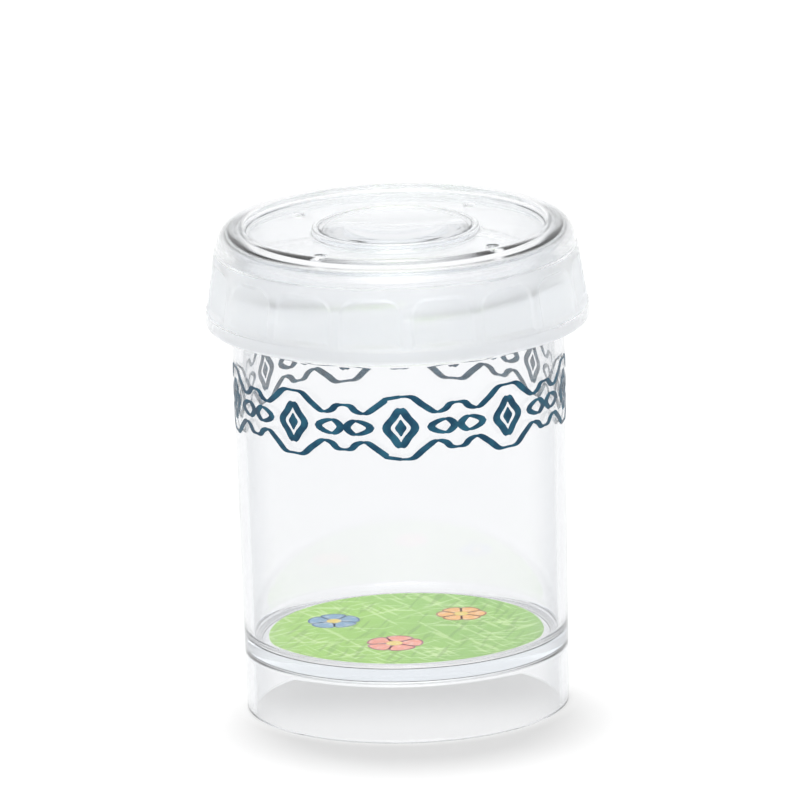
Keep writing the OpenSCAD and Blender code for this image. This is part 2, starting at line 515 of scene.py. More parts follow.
@dataclass(frozen=True)
class PrintedGrass:
    """Printed paper with a fresh green ground and fine strokes of grass.

    Attributes:
        name: the material's name.
        light: the lighter green, on the left.
        dark: the darker green, on the right.
        stroke: colour of the pale strokes.
        paper: colour of the bare paper.
        half_width: how far from the middle the greens are full, in metres.
        drift: waves in a metre of the line where they meet, and how far it wanders, in metres.
        blades: turn of each layer of pale strokes, and the height of noise at which its strokes start.
        blade: waves in a metre across the pale strokes, and how much they are drawn out.
        blade_edge: how much higher the noise is where a pale stroke is full.
        blade_cover: how much it then covers.
        shadow: waves in a metre across the dark strokes, and how much they are drawn out.
        shadow_turn: turn of their layer.
        shadow_edge: heights of noise at which they start and are full.
        shadow_cover: how much they then cover.
        shadow_tone: their share of the darker green.
        gloss: roughness of the ground, and of the topmost pale strokes.
        tooth: waves in a metre of the paper's surface.
        relief: height of these waves, in mm.
    """

    name: str
    light: tuple[float, float, float]
    dark: tuple[float, float, float]
    stroke: tuple[float, float, float]
    paper: tuple[float, float, float] = (0.87, 0.89, 0.85)
    half_width: float = 0.026
    drift: tuple[float, float] = (60.0, 0.06)
    blades: tuple[tuple[float, float], ...] = ((0.5, 0.58), (-0.9, 0.6), (1.4, 0.6))
    blade: tuple[float, float] = (900.0, 0.09)
    blade_edge: float = 0.08
    blade_cover: float = 0.45
    shadow: tuple[float, float] = (800.0, 0.12)
    shadow_turn: float = -0.3
    shadow_edge: tuple[float, float] = (0.56, 0.68)
    shadow_cover: float = 0.4
    shadow_tone: float = 0.6
    gloss: tuple[float, float] = (0.5, 0.38)
    tooth: float = 3000.0
    relief: float = 0.006

    def make(self, print_z: float) -> bpy.types.Material:
        """Builds the material.

        Args:
            print_z: height over which the paper is printed, in metres.

        Returns:
            The material.
        """
        material, board, shader = new_material(self.name)
        place = board.add("ShaderNodeTexCoord").outputs["Object"]
        x, _, z = board.add("ShaderNodeSeparateXYZ", {0: place}).outputs
        scale, reach = self.drift
        wander = board.maths("SUBTRACT", board.noise(scale, 3), 0.5)
        across = board.maths("MULTIPLY_ADD", wander, reach, x)
        to_right = board.ramp(across, -self.half_width, self.half_width)
        colour = board.blend(to_right, (*self.light, 1), (*self.dark, 1))
        scale, length = self.blade
        for turn, low in self.blades:
            blades = board.ramp(board.noise(scale, 1, (1, length, 1), turn), low, low + self.blade_edge, 0,
                                self.blade_cover)
            colour = board.blend(blades, colour, (*self.stroke, 1))
        scale, length = self.shadow
        shade = board.ramp(board.noise(scale, 1, (1, length, 1), self.shadow_turn), *self.shadow_edge, 0,
                           self.shadow_cover)
        colour = board.blend(shade, colour, (*(self.shadow_tone * part for part in self.dark), 1))
        printed = board.maths("GREATER_THAN", z, print_z)
        board.link(board.blend(printed, (*self.paper, 1), colour), shader, "Base Color")
        board.link(board.ramp(blades, 0, 1, *self.gloss), shader, "Roughness")
        board.link(board.bump(board.noise(self.tooth, 2), self.relief), shader, "Normal")
        return material


# ---- screw ----


@dataclass(frozen=True)
class ScrewThread:
    """Quick thread of a few short ridges, right-handed, and the lugs that run under them.

    Attributes:
        starts: number of ridges, and of lugs.
        lead: rise in one turn.
        first_z: height at which a ridge starts.
        span: length of a ridge, in degrees.
        ridge: half of a ridge's width at its foot, and at its crest.
        crest_r: radius of the ridges' crest.
        lug_from: where a lug starts after its ridge does, in degrees.
        lug_span: length of a lug, in degrees.
        lug: half of a lug's width at its foot, and at its tip.
        lug_r: radius of the lugs' tips.
        run_in: length over which a ridge or lug swells, in degrees.
        margin: how far the rows for a ridge or lug reach past its middle line.
    """

    starts: int = 4
    lead: float = 14.0
    first_z: float = 88.4
    span: float = 96.0
    ridge: tuple[float, float] = (0.85, 0.3)
    crest_r: float = 34.6
    lug_from: float = 42.0
    lug_span: float = 24.0
    lug: tuple[float, float] = (0.85, 0.35)
    lug_r: float = 34.2
    run_in: float = 7.0
    margin: float = 1.2

    @property
    def drop(self) -> float:
        """How far the lugs run under the ridges."""
        return self.lead / self.starts / 2

    @property
    def ridge_rows(self) -> tuple[float, float]:
        """Lowest and highest point of the ridges."""
        return self.first_z - self.margin, self.first_z + self.lead * self.span / 360 + self.margin

    @property
    def lug_rows(self) -> tuple[float, float]:
        """Lowest and highest point of the lugs."""
        low = self.first_z + self.lead * self.lug_from / 360 - self.drop
        return low - self.margin, low + self.lead * self.lug_span / 360 + self.margin

    def _swell(self, angle: float, z: float, start: float, span: float, drop: float,
               widths: tuple[float, float]) -> float:
        """Gives how far a ridge or lug has swollen at a place.

        Args:
            angle: the place's angle, in radians.
            z: its height.
            start: where the first ridge or lug starts, in degrees.
            span: length of each, in degrees.
            drop: how far it runs under the ridges' line.
            widths: half of its width at its foot, and at its crest.

        Returns:
            A share from 0 on the wall to 1 on the crest.
        """
        best = 0.0
        for i in range(self.starts):
            along = (math.degrees(angle) - start - i * 360 / self.starts) % 360
            if along > span:
                continue
            middle = self.first_z - drop + self.lead * (along + start) / 360
            ends = smooth_rise(min(along, span - along), 0, self.run_in)
            foot, crest = widths
            best = max(best, ends * smooth_rise(foot - abs(z - middle), 0, foot - crest))
        return best

    def ridge_at(self, angle: float, z: float) -> float:
        """How far the ridge has swollen at an angle, in radians, and a height."""
        return self._swell(angle, z, 0.0, self.span, 0.0, self.ridge)

    def lug_at(self, angle: float, z: float) -> float:
        """How far the lug has swollen at an angle, in radians, and a height."""
        return self._swell(angle, z, self.lug_from, self.lug_span, self.drop, self.lug)


# ---- jar ----


@dataclass(frozen=True)
class Jar:
    """The clear jar: tapered wall, floor on an open foot, and the neck with its thread.

    Attributes:
        plastic: its finish.
        thread: its thread.
        height: height of the mouth.
        top_r: radius of the wall at the neck's foot.
        foot_r: radius of the foot.
        wall: thickness of the wall.
        foot_wall: thickness of the foot's wall.
        under_z: height of the floor's underside.
        floor_z: height of the floor.
        neck_z: height of the neck's foot.
        neck_r: radius of the neck.
        edge: rounding of the foot's and the mouth's edges.
        floor_round: rounding where the wall meets the floor.
        under_round: rounding under the floor.
    """

    plastic: ClearPlastic
    thread: ScrewThread
    height: float = 99.6
    top_r: float = 34.1
    foot_r: float = 33.1
    wall: float = 2.0
    foot_wall: float = 1.8
    under_z: float = 12.8
    floor_z: float = 15.2
    neck_z: float = 80.4
    neck_r: float = 33.6
    edge: float = 0.55
    floor_round: float = 2.2
    under_round: float = 1.2

    def outer_r(self, z: float) -> float:
        """Outer radius of the tapered wall at a height."""
        return self.top_r - (self.top_r - self.foot_r) * (1 - z / self.neck_z)

    def section(self) -> list[Corner]:
        """Gives the half section, from under the floor round the foot, wall and mouth.

        Returns:
            Its corners in order.
        """
        step_z = self.neck_z - (self.top_r - self.neck_r)
        low, high = self.thread.ridge_rows
        return [
            Corner(0, self.under_z),
            Corner(self.outer_r(self.under_z) - self.wall, self.under_z, self.under_round, 8),
            Corner(self.foot_r - self.foot_wall, 0, self.edge, 6),
            Corner(self.foot_r, 0, self.edge, 6),
            Corner(self.outer_r(step_z), step_z, 0.2, 3),
            Corner(self.neck_r, self.neck_z, 0.2, 3),
            Corner(self.neck_r, low),
            Corner(self.neck_r, high, rows=round((high - low) / THREAD_ROW)),
            Corner(self.neck_r, self.height, self.edge, 7),
            Corner(self.outer_r(self.height) - self.wall, self.height, self.edge, 7),
            Corner(self.outer_r(self.floor_z) - self.wall, self.floor_z, self.floor_round, 10),
            Corner(0, self.floor_z),
        ]

    def build(self) -> None:
        """Turns the jar, raises its thread and finishes it."""
        bm = bmesh.new()
        turn_section(bm, self.section())
        for v in bm.verts:
            r = v.co.xy.length
            if abs(r - self.neck_r) < NEAR:
                swell = self.thread.ridge_at(math.atan2(v.co.y, v.co.x), v.co.z)
                v.co.xy *= (r + swell * (self.thread.crest_r - r)) / r
        finish_piece(bm, "clear_jar", Body.JAR, self.plastic.make(), ("jar_body",))


# ---- lid ----


@dataclass(frozen=True)
class GripPanel:
    """A sunk panel of the grip: flat, leaning with the skirt, with round top corners.

    Attributes:
        count: number of panels round the lid.
        width: width of a panel.
        height: its height along the skirt.
        depth: its depth at its middle.
        corner: radius of its top corners.
        corner_steps: pieces that each of them is made of.
        lift: how far its lower edge lies over the ring.
        turn: columns by which the grip is turned from a rib at the front.
        rib_satin: how satin the ribs between the panels are, from 0 to 1.
        row: height of the rows that the ribs are cut into.
        steps: width of each strip of its sloping edge, and how far sunk the strip ends.
    """

    count: int = 16
    width: float = 14.0
    height: float = 10.7
    depth: float = 0.8
    corner: float = 4.0
    corner_steps: int = 9
    lift: float = 0.08
    turn: int = 3
    rib_satin: float = 0.7
    row: float = 0.9
    steps: tuple[tuple[float, float], ...] = ((0.16, 0.0), (0.2, 0.12), (0.28, 0.5), (0.28, 0.88), (0.2, 1.0),
                                              (0.25, 1.0))


@dataclass(frozen=True)
class AirHole:
    """The air holes through the sunk top.

    Attributes:
        count: number of holes.
        r: radius of a hole.
        edge: size of the bevel round it.
        circle_r: radius of the circle that the holes stand on.
        first: angle of the first hole, in degrees.
        columns: steps of a hole's round.
    """

    count: int = 4
    r: float = 1.0
    edge: float = 0.25
    circle_r: float = 25.0
    first: float = 52.0
    columns: int = 32


@dataclass(frozen=True)
class Lid:
    """The clear screw lid: ring, grip, shoulder, rim, sunk top, lens seat, plug and lugs.

    Heights end in _z and radii in _r.

    Attributes:
        plastic: its finish.
        thread: the thread that its lugs belong to.
        grip: the panels of its grip.
        hole: its air holes.
        low_z: its lower edge.
        ring_z: top of the plain ring's outside.
        skirt_z: foot of the grip.
        crease_z: top of the grip.
        top_z: the rim.
        sunk_z: the sunk top.
        plate_z: the sunk top's underside.
        groove_z: bottom of the groove that takes the jar's mouth.
        seat_z: the ledge that carries the lens.
        lens_ring_z: top of the ring round the lens.
        ring_r: the plain ring.
        skirt_foot_r: foot of the grip.
        skirt_top_r: top of the grip.
        inner_foot_r: inside of the skirt at its lower edge.
        inner_top_r: inside of the skirt at the groove.
        inner_round: rounding between them and the groove.
        crease: height and depth of the crease under the shoulder.
        guard: how near the rows beside the crease lie.
        shoulder: rounding of the shoulder.
        shoulder_r: foot of the shoulder.
        rim_r: inner edge of the rim.
        sunk_r: edge of the sunk top.
        plug_r: outside of the plug.
        lens_ring_r: outside of the ring round the lens.
        pocket_r: inside of that ring.
        lens_hole_r: the hole under the lens.
        plate_out_r: where the sunk top's flat ends on the outside.
        plate_in_r: where it ends on the inside.
        under_out_r: where the underside's flat ends on the outside.
        under_in_r: where it ends on the inside.
        satin_inside: how satin the skirt's inside is, from 0 to 1.
        satin_groove: how satin it still is at the groove.
        satin_rim: how satin the shoulder and rim are.
        satin_fade: heights between which the inside grows clearer.
        satin_plug: how far under the plug the satin reaches.
    """

    plastic: ClearPlastic
    thread: ScrewThread
    grip: GripPanel = GripPanel()
    hole: AirHole = AirHole()
    low_z: float = 81.4
    ring_z: float = 84.2
    skirt_z: float = 84.45
    crease_z: float = 96.6
    top_z: float = 101.9
    sunk_z: float = 100.0
    plate_z: float = 98.3
    groove_z: float = 99.9
    seat_z: float = 99.35
    lens_ring_z: float = 101.0
    ring_r: float = 39.3
    skirt_foot_r: float = 39.05
    skirt_top_r: float = 37.2
    inner_foot_r: float = 37.25
    inner_top_r: float = 35.2
    inner_round: float = 1.8
    crease: float = 0.4
    guard: float = 0.07
    shoulder: float = 4.5
    shoulder_r: float = 36.8
    rim_r: float = 31.2
    sunk_r: float = 30.6
    plug_r: float = 31.99
    lens_ring_r: float = 17.15
    pocket_r: float = 15.95
    lens_hole_r: float = 14.4
    plate_out_r: float = 29.8
    plate_in_r: float = 18.0
    under_out_r: float = 30.8
    under_in_r: float = 15.2
    satin_inside: float = 0.9
    satin_groove: float = 0.25
    satin_rim: float = 0.14
    satin_fade: tuple[float, float] = (92.5, 97.0)
    satin_plug: float = 1.0

    def inner_r(self, z: float) -> float:
        """Radius of the skirt's inside at a height."""
        share = (z - self.low_z) / (self.groove_z - self.low_z)
        return self.inner_foot_r + (self.inner_top_r - self.inner_foot_r) * share

    def outer_r(self, z: float) -> float:
        """Radius of the skirt's outside at a height."""
        share = (z - self.skirt_z) / (self.crease_z - self.skirt_z)
        return self.skirt_foot_r + (self.skirt_top_r - self.skirt_foot_r) * share

    def shoulder_section(self) -> list[Corner]:
        """Gives the section from the top of the grip over the shoulder and rim to the sunk top.

        Returns:
            Its corners in order.
        """
        return [
            Corner(self.skirt_top_r, self.crease_z),
            Corner(self.skirt_top_r - self.guard, self.crease_z + self.guard),
            Corner(self.shoulder_r, self.crease_z + self.crease, 0.18, 4),
            Corner(self.shoulder_r, self.top_z, self.shoulder, 18),
            Corner(self.rim_r, self.top_z, 0.6, 6),
            Corner(self.sunk_r, self.sunk_z, 0.7, 6),
            Corner(self.plate_out_r, self.sunk_z),
        ]

    def skirt_section(self) -> list[Corner]:
        """Gives the section from the foot of the grip round the ring, the inside, the groove and the plug.

        Returns:
            Its corners in order.
        """
        low, high = self.thread.lug_rows
        return [
            Corner(self.skirt_foot_r, self.skirt_z),
            Corner(self.ring_r, self.ring_z, 0.12, 3),
            Corner(self.ring_r, self.low_z, 0.6, 7),
            Corner(self.inner_foot_r, self.low_z, 0.35, 5),
            Corner(self.inner_r(low), low),
            Corner(self.inner_r(high), high, rows=round((high - low) / THREAD_ROW)),
            Corner(self.inner_top_r, self.groove_z, self.inner_round, 12),
            Corner(self.plug_r, self.groove_z, 0.25, 3),
            Corner(self.plug_r, self.plate_z, 0.6, 6),
            Corner(self.under_out_r, self.plate_z),
        ]

    def seat_section(self) -> list[Corner]:
        """Gives the section from the sunk top over the lens ring and its ledge to the underside.

        Returns:
            Its corners in order.
        """
        return [
            Corner(self.plate_in_r, self.sunk_z),
            Corner(self.lens_ring_r, self.sunk_z, 0.2, 3),
            Corner(self.lens_ring_r, self.lens_ring_z, 0.4, 6),
            Corner(self.pocket_r, self.lens_ring_z, 0.3, 4),
            Corner(self.pocket_r, self.seat_z),
            Corner(self.lens_hole_r, self.seat_z, 0.25, 3),
            Corner(self.lens_hole_r, self.plate_z, 0.25, 3),
            Corner(self.under_in_r, self.plate_z),
        ]

    def grip_sector(self) -> bmesh.types.BMesh:
        """Builds one sector of the grip.

        The sector is drawn flat in the xz plane, where y says how far a point is sunk, from 0 on the skirt
        to 1 on the panel. It is then cut into columns and laid on the skirt.

        Returns:
            The sector, its middle on the x axis.
        """
        grip = self.grip
        half = math.pi / grip.count
        bm = bmesh.new()
        foot_x, top_x = self.skirt_foot_r * math.sin(half), self.skirt_top_r * math.sin(half)
        self._loop(bm, [(-foot_x, self.skirt_z), (foot_x, self.skirt_z), (top_x, self.crease_z),
                        (-top_x, self.crease_z)])
        side, low, high = grip.width / 2, self.skirt_z + grip.lift, self.skirt_z + grip.height
        satin = bm.verts.layers.float.new("satin")
        self._loop(bm, [(-side, low), (side, low), (side, high), (-side, high)])
        for x in (-side, side):
            round_corner(bm, Vector((x, 0, high)), grip.corner, grip.corner_steps)
        outer = [e for e in bm.edges
                 if all(min(abs(abs(v.co.x) - x) for x in (foot_x, top_x)) < NEAR for v in e.verts)]
        panel = [e for e in bm.edges if e not in outer]
        bmesh.ops.triangle_fill(bm, use_beauty=True, use_dissolve=False, edges=outer + panel,
                                normal=(0, -1, 0))
        land = set(bm.faces)
        bmesh.ops.contextual_create(bm, geom=panel)
        face = next(f for f in bm.faces if f not in land)
        for width, sunk in grip.steps:
            bmesh.ops.inset_region(bm, faces=[face], thickness=width, depth=0, use_even_offset=True,
                                   use_boundary=True)
            for v in face.verts:
                v.co.y = sunk
                v[satin] = sunk
        self._cut_sector(bm)
        for v in bm.verts:
            v[satin] = max(v[satin], grip.rib_satin)
            x, sunk, z = v.co
            r = self.outer_r(z)
            v.co = ((1 - sunk) * math.sqrt(r * r - x * x) + sunk * (r - grip.depth), x, z)
        return bm

    def _cut_sector(self, bm: bmesh.types.BMesh) -> None:
        """Cuts a flat sector of the grip into the columns of the turned shells, and into rows.

        Args:
            bm: the sector.
        """
        per_sector = COLUMNS // self.grip.count
        for i in range(1, per_sector):
            angle = math.pi / self.grip.count * (2 * i / per_sector - 1)
            foot = Vector((self.skirt_foot_r * math.sin(angle), 0, self.skirt_z))
            lean = Vector((self.skirt_top_r * math.sin(angle), 0, self.crease_z)) - foot
            cut(bm, foot, Vector((lean.z, 0, -lean.x)))
        rows = int((self.crease_z - self.skirt_z) / self.grip.row)
        heights = [self.skirt_z + (self.crease_z - self.skirt_z) * i / rows for i in range(1, rows)]
        for height in [*heights, self.crease_z - self.guard]:
            cut(bm, Vector((0, 0, height)), Vector((0, 0, 1)))

    @staticmethod
    def _loop(bm: bmesh.types.BMesh, points: list[tuple[float, float]]) -> None:
        """Draws a closed loop of edges in the xz plane.

        Args:
            bm: the mesh to draw in.
            points: the loop's points, as x and z.
        """
        verts = [bm.verts.new((x, 0, z)) for x, z in points]
        for pair in zip(verts, verts[1:] + verts[:1]):
            bm.edges.new(pair)

    def add_grip(self, bm: bmesh.types.BMesh) -> None:
        """Adds all the sectors of the grip.

        Args:
            bm: the lid's mesh.
        """
        sector = self.grip_sector()
        step = FULL_TURN / self.grip.count
        turn = step / 2 + self.grip.turn * FULL_TURN / COLUMNS
        bmesh.ops.rotate(sector, cent=(0, 0, 0), matrix=Matrix.Rotation(turn, 3, "Z"), verts=sector.verts)
        bmesh.ops.spin(sector, geom=sector.verts[:] + sector.edges[:] + sector.faces[:], cent=(0, 0, 0),
                       axis=(0, 0, 1), dvec=(0, 0, 0), angle=FULL_TURN - step, steps=self.grip.count - 1,
                       use_merge=False, use_duplicate=True)
        add_mesh(bm, sector)

    def add_plate(self, bm: bmesh.types.BMesh) -> None:
        """Closes the sunk top and its underside round the air holes.

        Args:
            bm: the lid's mesh.
        """
        hole = self.hole
        for i in range(hole.count):
            angle = math.radians(hole.first + i * 360 / hole.count)
            turn_section(bm, [Corner(hole.r + hole.edge + GUARD, self.sunk_z),
                              Corner(hole.r + hole.edge, self.sunk_z),
                              Corner(hole.r, self.sunk_z - hole.edge),
                              Corner(hole.r, self.plate_z + hole.edge),
                              Corner(hole.r + hole.edge, self.plate_z),
                              Corner(hole.r + hole.edge + GUARD, self.plate_z)], hole.columns,
                         (hole.circle_r * math.cos(angle), hole.circle_r * math.sin(angle), 0))
        for z, out_r, in_r, up in ((self.sunk_z, self.plate_out_r, self.plate_in_r, 1),
                                   (self.plate_z, self.under_out_r, self.under_in_r, -1)):
            rims = [e for e in bm.edges if len(e.link_faces) == 1 and all(
                abs(v.co.z - z) < NEAR and in_r + NEAR < v.co.xy.length < out_r - NEAR for v in e.verts)]
            edges = boundary(bm, z, out_r) + boundary(bm, z, in_r) + rims
            bmesh.ops.triangle_fill(bm, use_beauty=True, use_dissolve=False, edges=edges, normal=(0, 0, up))

    def satin_at(self, r: float, z: float) -> float:
        """Gives how satin a turned part of the lid is.

        Args:
            r: radius of the place.
            z: its height.

        Returns:
            A share from 0 to 1.
        """
        if self.plug_r - self.satin_plug < r < self.inner_r(z) + 2 * NEAR and z < self.groove_z + NEAR:
            fade = smooth_rise(z, *self.satin_fade)
            return self.satin_inside + (self.satin_groove - self.satin_inside) * fade
        return self.satin_rim if r > self.plate_out_r and z > self.plate_z else 0.0

    def build(self) -> None:
        """Builds the lid's closed shell and finishes it."""
        bm = bmesh.new()
        for section in (self.shoulder_section(), self.skirt_section(), self.seat_section()):
            turn_section(bm, section)
        low, high = self.thread.lug_rows
        satin = bm.verts.layers.float.new("satin")
        for v in bm.verts:
            r, z = v.co.xy.length, v.co.z
            v[satin] = self.satin_at(r, z)
            if abs(r - self.inner_r(z)) < 2 * NEAR and low < z < high:
                swell = self.thread.lug_at(math.atan2(v.co.y, v.co.x), z)
                v.co.xy *= (r + swell * (self.thread.lug_r - r)) / r
        self.add_plate(bm)
        self.add_grip(bm)
        finish_piece(bm, "clear_lid", Body.LID, self.plastic.make(), ("lid",))


@dataclass(frozen=True)
class Lens:
    """The magnifier: a biconvex lens with a flat edge.

    Attributes:
        plastic: its finish.
        r: its radius.
        low_z: height of its edge's lower end.
        edge: thickness of its edge.
        bevel: width of the flat round its upper face.
        low_face_r: radius at which its lower face ends.
        top_curve: radius of its upper face.
        low_curve: radius of its lower face.
        rows: rings that each face is made of.
    """

    plastic: ClearPlastic
    r: float = 15.8
    low_z: float = 99.5
    edge: float = 1.5
    bevel: float = 0.5
    low_face_r: float = 14.25
    top_curve: float = 150.0
    low_curve: float = 92.0
    rows: int = 28

    def build(self) -> None:
        """Turns the lens and finishes it."""
        high_z = self.low_z + self.edge
        bm = bmesh.new()
        section = self._dome(self.low_curve, self.low_face_r, self.low_z, -1)
        section += [Corner(self.r, self.low_z, 0.12, 2), Corner(self.r, high_z, 0.12, 2)]
        section += reversed(self._dome(self.top_curve, self.r - self.bevel, high_z, 1))
        turn_section(bm, section, COLUMNS // 2)
        finish_piece(bm, "magnifier", Body.LENS, self.plastic.make(), ("magnifier_lens",))

    def _dome(self, curve: float, edge_r: float, z: float, side: int) -> list[Corner]:
        """Points of a lens face from the axis to its edge.

        Args:
            curve: radius of the face.
            edge_r: radius at which the face ends.
            z: height of that edge.
            side: 1 for a face that bulges up, -1 for one that bulges down.

        Returns:
            The points as corners.
        """
        depth = math.sqrt(curve * curve - edge_r * edge_r)
        rows = [edge_r * i / self.rows for i in range(self.rows + 1)]
        return [Corner(r, z + side * (math.sqrt(curve * curve - r * r) - depth)) for r in rows]


# ---- print ----


@dataclass(frozen=True)
class Nib:
    """Pen that draws thin along the band and thick across it.

    Attributes:
        thin: width of a stroke along the band.
        thick: width of a stroke across it.
    """

    thin: float = 0.5
    thick: float = 1.8

    def width(self, along: Vector) -> float:
        """Width of the stroke for a direction."""
        rise = abs(along.y) / max(along.length, 1e-6)
        return self.thin + (self.thick - self.thin) * rise


def smooth_line(points: list[tuple[float, float]], closed: bool, step: float = 0.5) -> list[Vector]:
    """Runs a smooth line through points.

    Args:
        points: the points to pass.
        closed: whether the line comes back to its first point.
        step: greatest length of a piece of the line.

    Returns:
        The line's points. A closed line doesn't repeat its first point.
    """
    knots = [Vector(p) for p in points]
    count = len(knots)
    line = []
    for i in range(count if closed else count - 1):
        if closed:
            a, b, c, d = (knots[(i + k) % count] for k in (-1, 0, 1, 2))
        else:
            a, b, c, d = (knots[min(max(i + k, 0), count - 1)] for k in (-1, 0, 1, 2))
        pieces = max(1, math.ceil((c - b).length / step))
        for k in range(pieces):
            t = k / pieces
            line.append(0.5 * (2 * b + (c - a) * t + (2 * a - 5 * b + 4 * c - d) * t * t
                               + (3 * b - a - 3 * c + d) * t * t * t))
    return line if closed else line + [knots[-1]]


class InkSheet:
    """Flat drawing of inked strokes, before it is laid on its piece."""

    def __init__(self, nib: Nib) -> None:
        """Starts an empty sheet for one nib."""
        self.bm = bmesh.new()
        self.nib = nib
        self.ink = self.bm.loops.layers.float_color.new("ink")

    def paint(self, colour: tuple[float, float, float], lift: float = 0.0) -> None:
        """Gives all that was drawn since the last call a colour, and lifts it.

        Args:
            colour: the colour.
            lift: height over the sheet.
        """
        fresh = [f for f in self.bm.faces if not f.tag]
        bmesh.ops.translate(self.bm, vec=(0, 0, lift), verts=list({v for f in fresh for v in f.verts}))
        for f in fresh:
            f.tag = True
            for loop in f.loops:
                loop[self.ink] = (*colour, 1)

    def stroke(self, line: list[Vector], closed: bool = False) -> None:
        """Draws a stroke by drawing the pen's edge along a line.

        Args:
            line: the points of the line.
            closed: whether the stroke closes on itself.
        """
        count = len(line)
        pen = None
        for i, point in enumerate(line):
            before = line[i - 1] if i or closed else point
            after = line[(i + 1) % count] if i < count - 1 or closed else point
            along = after - before
            side = Vector((-along.y, along.x)).normalized() * self.nib.width(along) / 2
            if pen is None:
                ends = first = [self.bm.verts.new((*(point + way), 0)) for way in (side, -side)]
                pen = self.bm.edges.new(ends)
                continue
            made = bmesh.ops.extrude_edge_only(self.bm, edges=[pen])["geom"]
            verts = [v for v in made if isinstance(v, bmesh.types.BMVert)]
            pen = next(e for e in made if isinstance(e, bmesh.types.BMEdge) and set(e.verts) == set(verts))
            ends = sorted(verts, key=lambda v: (v.co.xy - ends[0].co.xy).length)
            ends[0].co.xy, ends[1].co.xy = point + side, point - side
        if closed:
            self.bm.faces.new((*ends, *reversed(first)))

    def patch(self, outline: list[Vector]) -> None:
        """Inks a closed outline full."""
        self.bm.faces.new([self.bm.verts.new((*point, 0)) for point in outline])

    def thicken(self, thickness: float) -> None:
        """Gives the ink a thickness, towards +z.

        Args:
            thickness: the ink's thickness.
        """
        bmesh.ops.recalc_face_normals(self.bm, faces=self.bm.faces)
        for f in self.bm.faces:
            if f.normal.z < 0:
                f.normal_flip()
        grown = bmesh.ops.extrude_face_region(self.bm, geom=self.bm.faces[:], use_keep_orig=True)["geom"]
        bmesh.ops.translate(self.bm, vec=(0, 0, thickness),
                            verts=[v for v in grown if isinstance(v, bmesh.types.BMVert)])


@dataclass(frozen=True)
class PrintedBand:
    """The blue line print round the wall under the lid: lozenges and leaf pairs between zigzag borders.

    Attributes:
        ink: its ink.
        jar: the jar that it is printed on.
        nib: the pen that draws it.
        middle_z: height of its middle line.
        repeats: number of lozenges round the jar.
        gap: how far the print stands off the wall.
        thickness: thickness of its ink.
        step: greatest length of a piece of its lines.
        border: the border's points, as shares of a repeat and distances from the middle line.
        lozenge: a lozenge's points, as shares of its half width and half height.
        frame_size: half width and half height of the drawn lozenge.
        heart_size: the same of the full one within it.
        leaf: a leaf's points from the point between two lozenges, along the band and across it.
    """

    ink: PrintInk
    jar: Jar
    nib: Nib = Nib()
    middle_z: float = 67.0
    repeats: int = 9
    gap: float = 0.05
    thickness: float = 0.05
    step: float = 0.5
    border: tuple[tuple[float, float], ...] = (
        (0.0, 6.6), (0.10, 6.4), (0.20, 4.6), (0.30, 3.1), (0.38, 3.4), (0.44, 4.5), (0.5, 4.7), (0.56, 4.5),
        (0.62, 3.4), (0.70, 3.1), (0.80, 4.6), (0.90, 6.4))
    lozenge: tuple[tuple[float, float], ...] = (
        (1, 0), (0.5, 0.55), (0, 1), (-0.5, 0.55), (-1, 0), (-0.5, -0.55), (0, -1), (0.5, -0.55))
    frame_size: tuple[float, float] = (2.9, 3.9)
    heart_size: tuple[float, float] = (1.2, 1.8)
    leaf: tuple[tuple[float, float], ...] = (
        (0.7, 0), (2.2, 1.35), (4.3, 1.0), (5.6, 0), (4.3, -1.0), (2.2, -1.35))

    def build(self) -> None:
        """Draws the pattern flat, lays it on the wall and finishes it."""
        sheet = InkSheet(self.nib)
        around = FULL_TURN * self.jar.outer_r(self.middle_z)
        unit = around / self.repeats
        for side in (1, -1):
            knots = [(i * unit + share * unit, side * v)
                     for i in range(self.repeats) for share, v in self.border]
            end = Vector((around, side * self.border[0][1]))
            sheet.stroke(smooth_line(knots, False, self.step)[:-1] + [end])
        for i in range(self.repeats):
            u = i * unit
            sheet.stroke(self._outline(self.lozenge, u, *self.frame_size), True)
            sheet.patch(self._outline(self.lozenge, u, *self.heart_size))
            for side in (1, -1):
                sheet.stroke(self._outline(self.leaf, u + unit / 2, side, 1), True)
        sheet.thicken(self.thickness)
        bmesh.ops.remove_doubles(sheet.bm, verts=sheet.bm.verts, dist=WELD)
        for v in sheet.bm.verts:
            u, side, out = v.co
            z = self.middle_z + side
            r = self.jar.outer_r(z) + self.gap + out
            angle = FULL_TURN * u / around - math.pi / 2
            v.co = (r * math.cos(angle), r * math.sin(angle), z)
        finish_piece(sheet.bm, "band_print", Body.JAR, self.ink.make(), ("printed_band",))

    def _outline(self, points: tuple[tuple[float, float], ...], u: float, along: float,
                 across: float) -> list[Vector]:
        """Runs a closed line through the points of a form.

        Args:
            points: the form's points.
            u: place of the form along the band.
            along: how much it is drawn out along the band, below 0 to mirror it.
            across: how much it is drawn out across the band.

        Returns:
            The line's points.
        """
        return smooth_line([(u + along * x, across * y) for x, y in points], True, self.step)


